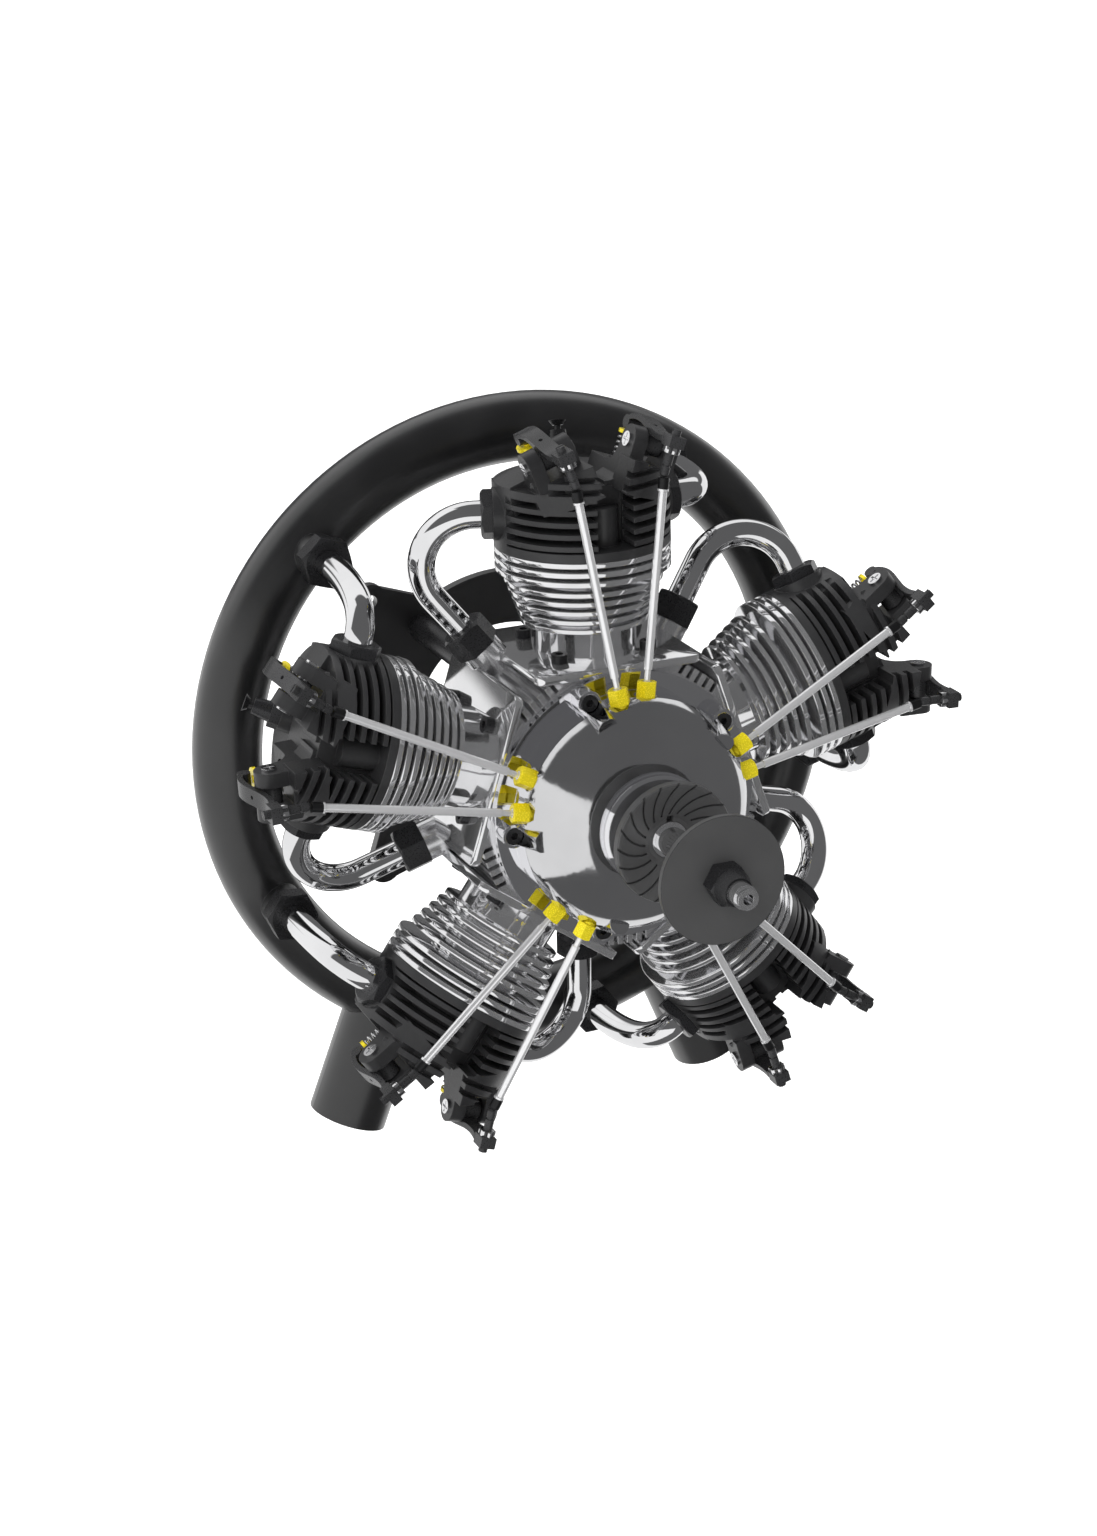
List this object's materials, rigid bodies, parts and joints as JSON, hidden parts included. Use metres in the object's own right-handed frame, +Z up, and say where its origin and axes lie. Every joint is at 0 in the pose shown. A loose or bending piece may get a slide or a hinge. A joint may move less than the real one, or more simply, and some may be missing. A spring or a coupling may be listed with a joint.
{
  "type": "radial engine",
  "caption": "Air-cooled radial piston engine for a model aeroplane, with open rocker gear, a ring exhaust collector and a rear mount plate.",
  "frame": {"origin": "on the crank axis, in the rear face of the mount plate that meets the bulkhead", "axes": "-Y points forward along the propeller shaft, +Z up through the top cylinder, +X to the right as seen from the nose"},
  "size_m": [0.2478, 0.1993, 0.2666],
  "materials": {
    "black_casting": "satin black",
    "ring_black": "matt black, smooth",
    "dome_grey": "satin dark grey, chromed flange",
    "blackened_steel": "blackened, satin",
    "bright_chrome": "mirror bright",
    "bright_steel": "ground",
    "brass": "bright",
    "aluminium": "machined"
  },
  "bodies": {
    "engine": {"crankcase": "black_casting", "nose_case": "dome_grey", "rear_cover": "black_casting", "mount_plate": "black_casting", "standoffs": "blackened_steel", "collector_ring": "ring_black", "exhaust_pipes": "bright_chrome", "intake_pipes": "bright_chrome", "pipe_nuts": "blackened_steel", "case_screws": "blackened_steel", "cylinder_barrels": "bright_chrome", "head_1": "black_casting", "head_2": "black_casting", "head_3": "black_casting", "head_4": "black_casting", "head_5": "black_casting", "rocker_shafts": "bright_steel", "spark_plugs": "blackened_steel", "pushrod_guides": "brass", "bearings": "bright_steel", "pistons": "aluminium", "connecting_rods": "aluminium", "carburettor": "black_casting"},
    "crank": {"crankshaft": "bright_steel", "prop_driver": "blackened_steel", "prop_washer": "blackened_steel", "prop_nuts": "blackened_steel"},
    "idler": {"cam_idler": "bright_steel"},
    "cam": {"cam_ring": "bright_steel"},
    "throttle": {"throttle_drum": "brass"},
    "rocker_intake_1": {"rocker_intake_1": "blackened_steel"},
    "valve_intake_1": {"valve_intake_1": "bright_steel"},
    "pushrod_intake_1": {"pushrod_intake_1": "bright_chrome"},
    "rocker_intake_2": {"rocker_intake_2": "blackened_steel"},
    "valve_intake_2": {"valve_intake_2": "bright_steel"},
    "pushrod_intake_2": {"pushrod_intake_2": "bright_chrome"},
    "rocker_intake_3": {"rocker_intake_3": "blackened_steel"},
    "valve_intake_3": {"valve_intake_3": "bright_steel"},
    "pushrod_intake_3": {"pushrod_intake_3": "bright_chrome"},
    "rocker_intake_4": {"rocker_intake_4": "blackened_steel"},
    "valve_intake_4": {"valve_intake_4": "bright_steel"},
    "pushrod_intake_4": {"pushrod_intake_4": "bright_chrome"},
    "rocker_intake_5": {"rocker_intake_5": "blackened_steel"},
    "valve_intake_5": {"valve_intake_5": "bright_steel"},
    "pushrod_intake_5": {"pushrod_intake_5": "bright_chrome"},
    "rocker_exhaust_1": {"rocker_exhaust_1": "blackened_steel"},
    "valve_exhaust_1": {"valve_exhaust_1": "bright_steel"},
    "pushrod_exhaust_1": {"pushrod_exhaust_1": "bright_chrome"},
    "rocker_exhaust_2": {"rocker_exhaust_2": "blackened_steel"},
    "valve_exhaust_2": {"valve_exhaust_2": "bright_steel"},
    "pushrod_exhaust_2": {"pushrod_exhaust_2": "bright_chrome"},
    "rocker_exhaust_3": {"rocker_exhaust_3": "blackened_steel"},
    "valve_exhaust_3": {"valve_exhaust_3": "bright_steel"},
    "pushrod_exhaust_3": {"pushrod_exhaust_3": "bright_chrome"},
    "rocker_exhaust_4": {"rocker_exhaust_4": "blackened_steel"},
    "valve_exhaust_4": {"valve_exhaust_4": "bright_steel"},
    "pushrod_exhaust_4": {"pushrod_exhaust_4": "bright_chrome"},
    "rocker_exhaust_5": {"rocker_exhaust_5": "blackened_steel"},
    "valve_exhaust_5": {"valve_exhaust_5": "bright_steel"},
    "pushrod_exhaust_5": {"pushrod_exhaust_5": "bright_chrome"}
  },
  "joints": [
    {"name": "crank_spin", "type": "hinge", "parent": "engine", "child": "crank", "pos_m": [0, 0, 0], "axis": [0, 1, 0], "continuous": true},
    {"name": "idler_spin", "type": "hinge", "parent": "engine", "child": "idler", "pos_m": [0, -0.077, 0.0175], "axis": [0, 1, 0], "continuous": true},
    {"name": "cam_spin", "type": "hinge", "parent": "engine", "child": "cam", "pos_m": [0, 0, 0], "axis": [0, 1, 0], "continuous": true},
    {"name": "rocker_intake_1_tilt", "type": "hinge", "parent": "engine", "child": "rocker_intake_1", "pos_m": [-0.0178, -0.093, 0.1158], "axis": [-0.9397, 0, -0.342], "range_deg": [0, 7.2]},
    {"name": "valve_intake_1_lift", "type": "slide", "parent": "engine", "child": "valve_intake_1", "axis": [0.342, 0, -0.9397], "range_m": [0, 0.00203]},
    {"name": "pushrod_intake_1_lift", "type": "slide", "parent": "engine", "child": "pushrod_intake_1", "axis": [-0.1449, 0.0957, 0.9848], "range_m": [0, 0.00212]},
    {"name": "rocker_intake_2_tilt", "type": "hinge", "parent": "engine", "child": "rocker_intake_2", "pos_m": [0.10463, -0.093, 0.05271], "axis": [-0.6157, 0, 0.788], "range_deg": [0, 7.2]},
    {"name": "valve_intake_2_lift", "type": "slide", "parent": "engine", "child": "valve_intake_2", "axis": [-0.788, 0, -0.6157], "range_m": [0, 0.00203]},
    {"name": "pushrod_intake_2_lift", "type": "slide", "parent": "engine", "child": "pushrod_intake_2", "axis": [0.8918, 0.0957, 0.4421], "range_m": [0, 0.00212]},
    {"name": "rocker_intake_3_tilt", "type": "hinge", "parent": "engine", "child": "rocker_intake_3", "pos_m": [0.08247, -0.093, -0.08322], "axis": [0.5592, 0, 0.829], "range_deg": [0, 7.2]},
    {"name": "valve_intake_3_lift", "type": "slide", "parent": "engine", "child": "valve_intake_3", "axis": [-0.829, 0, 0.5592], "range_m": [0, 0.00203]},
    {"name": "pushrod_intake_3_lift", "type": "slide", "parent": "engine", "child": "pushrod_intake_3", "axis": [0.6961, 0.0957, -0.7115], "range_m": [0, 0.00212]},
    {"name": "rocker_intake_4_tilt", "type": "hinge", "parent": "engine", "child": "rocker_intake_4", "pos_m": [-0.05366, -0.093, -0.10415], "axis": [0.9613, 0, -0.2756], "range_deg": [0, 7.2]},
    {"name": "valve_intake_4_lift", "type": "slide", "parent": "engine", "child": "valve_intake_4", "axis": [0.2756, 0, 0.9613], "range_m": [0, 0.00203]},
    {"name": "pushrod_intake_4_lift", "type": "slide", "parent": "engine", "child": "pushrod_intake_4", "axis": [-0.4616, 0.0957, -0.8819], "range_m": [0, 0.00212]},
    {"name": "rocker_intake_5_tilt", "type": "hinge", "parent": "engine", "child": "rocker_intake_5", "pos_m": [-0.11563, -0.093, 0.01886], "axis": [0.0349, 0, -0.9994], "range_deg": [0, 7.2]},
    {"name": "valve_intake_5_lift", "type": "slide", "parent": "engine", "child": "valve_intake_5", "axis": [0.9994, 0, 0.0349], "range_m": [0, 0.00203]},
    {"name": "pushrod_intake_5_lift", "type": "slide", "parent": "engine", "child": "pushrod_intake_5", "axis": [-0.9814, 0.0957, 0.1665], "range_m": [0, 0.00212]},
    {"name": "rocker_exhaust_1_tilt", "type": "hinge", "parent": "engine", "child": "rocker_exhaust_1", "pos_m": [0.0178, -0.093, 0.1158], "axis": [-0.9397, 0, 0.342], "range_deg": [0, 7.2]},
    {"name": "valve_exhaust_1_lift", "type": "slide", "parent": "engine", "child": "valve_exhaust_1", "axis": [-0.342, 0, -0.9397], "range_m": [0, 0.00203]},
    {"name": "pushrod_exhaust_1_lift", "type": "slide", "parent": "engine", "child": "pushrod_exhaust_1", "axis": [0.1465, 0.0801, 0.986], "range_m": [0, 0.00189]},
    {"name": "rocker_exhaust_2_tilt", "type": "hinge", "parent": "engine", "child": "rocker_exhaust_2", "pos_m": [0.11563, -0.093, 0.01886], "axis": [0.0349, 0, 0.9994], "range_deg": [0, 7.2]},
    {"name": "valve_exhaust_2_lift", "type": "slide", "parent": "engine", "child": "valve_exhaust_2", "axis": [-0.9994, 0, 0.0349], "range_m": [0, 0.00203]},
    {"name": "pushrod_exhaust_2_lift", "type": "slide", "parent": "engine", "child": "pushrod_exhaust_2", "axis": [0.983, 0.0801, 0.1653], "range_m": [0, 0.00189]},
    {"name": "rocker_exhaust_3_tilt", "type": "hinge", "parent": "engine", "child": "rocker_exhaust_3", "pos_m": [0.05366, -0.093, -0.10415], "axis": [0.9613, 0, 0.2756], "range_deg": [0, 7.2]},
    {"name": "valve_exhaust_3_lift", "type": "slide", "parent": "engine", "child": "valve_exhaust_3", "axis": [-0.2756, 0, 0.9613], "range_m": [0, 0.00203]},
    {"name": "pushrod_exhaust_3_lift", "type": "slide", "parent": "engine", "child": "pushrod_exhaust_3", "axis": [0.461, 0.0801, -0.8838], "range_m": [0, 0.00189]},
    {"name": "rocker_exhaust_4_tilt", "type": "hinge", "parent": "engine", "child": "rocker_exhaust_4", "pos_m": [-0.08247, -0.093, -0.08322], "axis": [0.5592, 0, -0.829], "range_deg": [0, 7.2]},
    {"name": "valve_exhaust_4_lift", "type": "slide", "parent": "engine", "child": "valve_exhaust_4", "axis": [0.829, 0, 0.5592], "range_m": [0, 0.00203]},
    {"name": "pushrod_exhaust_4_lift", "type": "slide", "parent": "engine", "child": "pushrod_exhaust_4", "axis": [-0.6981, 0.0801, -0.7115], "range_m": [0, 0.00189]},
    {"name": "rocker_exhaust_5_tilt", "type": "hinge", "parent": "engine", "child": "rocker_exhaust_5", "pos_m": [-0.10463, -0.093, 0.05271], "axis": [-0.6157, 0, -0.788], "range_deg": [0, 7.2]},
    {"name": "valve_exhaust_5_lift", "type": "slide", "parent": "engine", "child": "valve_exhaust_5", "axis": [0.788, 0, -0.6157], "range_m": [0, 0.00203]},
    {"name": "pushrod_exhaust_5_lift", "type": "slide", "parent": "engine", "child": "pushrod_exhaust_5", "axis": [-0.8924, 0.0801, 0.444], "range_m": [0, 0.00189]},
    {"name": "throttle_turn", "type": "hinge", "parent": "engine", "child": "throttle", "pos_m": [0, -0.023, 0], "axis": [-1, 0, 0], "range_deg": [0, 80]}
  ],
  "couplings": [
    {"joint": "idler_spin", "follows": "crank_spin", "ratio": -0.66667},
    {"joint": "cam_spin", "follows": "crank_spin", "ratio": -0.25},
    {"joint": "valve_intake_1_lift", "follows": "rocker_intake_1_tilt", "m_per_rad": 0.016},
    {"joint": "pushrod_intake_1_lift", "follows": "rocker_intake_1_tilt", "m_per_rad": 0.016721},
    {"joint": "valve_intake_2_lift", "follows": "rocker_intake_2_tilt", "m_per_rad": 0.016},
    {"joint": "pushrod_intake_2_lift", "follows": "rocker_intake_2_tilt", "m_per_rad": 0.016721},
    {"joint": "valve_intake_3_lift", "follows": "rocker_intake_3_tilt", "m_per_rad": 0.016},
    {"joint": "pushrod_intake_3_lift", "follows": "rocker_intake_3_tilt", "m_per_rad": 0.016721},
    {"joint": "valve_intake_4_lift", "follows": "rocker_intake_4_tilt", "m_per_rad": 0.016},
    {"joint": "pushrod_intake_4_lift", "follows": "rocker_intake_4_tilt", "m_per_rad": 0.016721},
    {"joint": "valve_intake_5_lift", "follows": "rocker_intake_5_tilt", "m_per_rad": 0.016},
    {"joint": "pushrod_intake_5_lift", "follows": "rocker_intake_5_tilt", "m_per_rad": 0.016721},
    {"joint": "valve_exhaust_1_lift", "follows": "rocker_exhaust_1_tilt", "m_per_rad": 0.016},
    {"joint": "pushrod_exhaust_1_lift", "follows": "rocker_exhaust_1_tilt", "m_per_rad": 0.014868},
    {"joint": "valve_exhaust_2_lift", "follows": "rocker_exhaust_2_tilt", "m_per_rad": 0.016},
    {"joint": "pushrod_exhaust_2_lift", "follows": "rocker_exhaust_2_tilt", "m_per_rad": 0.014868},
    {"joint": "valve_exhaust_3_lift", "follows": "rocker_exhaust_3_tilt", "m_per_rad": 0.016},
    {"joint": "pushrod_exhaust_3_lift", "follows": "rocker_exhaust_3_tilt", "m_per_rad": 0.014868},
    {"joint": "valve_exhaust_4_lift", "follows": "rocker_exhaust_4_tilt", "m_per_rad": 0.016},
    {"joint": "pushrod_exhaust_4_lift", "follows": "rocker_exhaust_4_tilt", "m_per_rad": 0.014868},
    {"joint": "valve_exhaust_5_lift", "follows": "rocker_exhaust_5_tilt", "m_per_rad": 0.016},
    {"joint": "pushrod_exhaust_5_lift", "follows": "rocker_exhaust_5_tilt", "m_per_rad": 0.014868}
  ]
}
